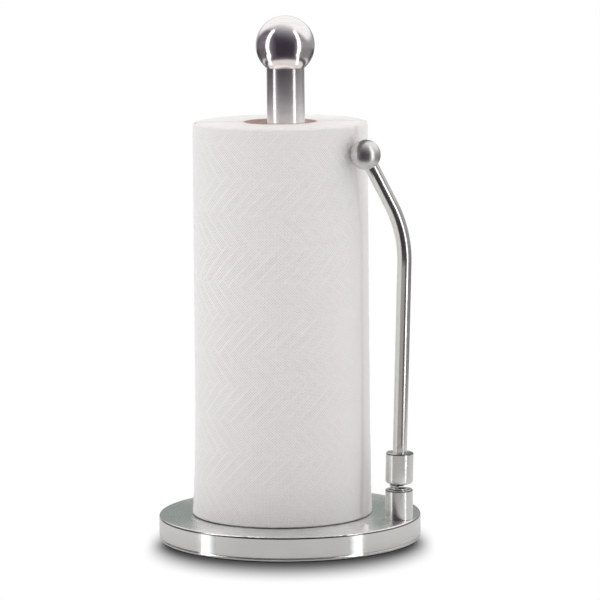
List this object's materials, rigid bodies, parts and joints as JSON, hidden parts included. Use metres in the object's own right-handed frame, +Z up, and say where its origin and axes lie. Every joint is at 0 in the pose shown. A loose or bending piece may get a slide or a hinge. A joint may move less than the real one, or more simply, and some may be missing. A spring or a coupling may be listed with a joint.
{
  "type": "paper towel holder",
  "caption": "Upright stainless paper towel holder: weighted round base, post with a ball finial, sprung tension arm with a ball tip, and a loose roll of white embossed paper towel.",
  "frame": {"origin": "centre of the base's underside, on the table", "axes": "+Z up along the post; +X from the post to the foot of the tension arm"},
  "size_m": [0.1778, 0.1778, 0.3546],
  "materials": {
    "cover_steel": "circular-brushed stainless, satin",
    "post_steel": "brushed stainless tube, grain round the tube",
    "finial_steel": "turned and brushed stainless ball",
    "ferrule_steel": "turned stainless, fine satin",
    "arm_steel": "polished stainless tube",
    "tip_steel": "satin stainless ball",
    "spring_steel": "bright spring wire",
    "plain_steel": "zinc-plated steel",
    "weight_iron": "as cast, oiled",
    "plug_alloy": "machined",
    "pad_rubber": "matt",
    "core_board": "uncoated brown-grey board",
    "towel_paper": "white embossed tissue, matt"
  },
  "bodies": {
    "holder": {"base_cover": "cover_steel", "base_weight": "weight_iron", "base_plate": "plain_steel", "base_pad": "pad_rubber", "post_tube": "post_steel", "post_foot_plug": "plug_alloy", "post_bolt": "plain_steel", "post_washer": "plain_steel", "post_head_plug": "plug_alloy", "finial_stud": "plain_steel", "finial_ball": "finial_steel", "lower_ferrule": "ferrule_steel", "arm_bolt": "plain_steel", "arm_washer": "plain_steel", "lower_spring_anchor": "plain_steel"},
    "roll_core": {"cardboard_core": "core_board"},
    "paper": {"paper_roll": "towel_paper"},
    "spring": {"tension_spring": "spring_steel"},
    "arm": {"upper_spring_anchor": "plain_steel", "upper_ferrule": "ferrule_steel", "arm_foot_plug": "plain_steel", "arm_tube": "arm_steel", "tip_ball": "tip_steel"}
  },
  "joints": [
    {"name": "roll_lift", "type": "slide", "parent": "holder", "child": "roll_core", "axis": [0, 0, 1], "range_m": [0, 0.346]},
    {"name": "roll_spin", "type": "hinge", "parent": "roll_core", "child": "paper", "pos_m": [-0.0041, 0, 0.15], "axis": [0, 0, 1], "continuous": true},
    {"name": "arm_sway", "type": "hinge", "parent": "holder", "child": "spring", "pos_m": [0.0785, 0, 0.0391], "axis": [0.9632, -0.2689, 0], "range_deg": [-10, 10], "stiffness_Nm_per_rad": 2, "deforming": ["tension_spring"]},
    {"name": "arm_tilt", "type": "hinge", "parent": "spring", "child": "arm", "pos_m": [0.0785, 0, 0.0391], "axis": [0.2689, 0.9632, 0], "range_deg": [0, 17], "stiffness_Nm_per_rad": 2, "springref_deg": -2.06, "deforming": ["tension_spring"]}
  ]
}
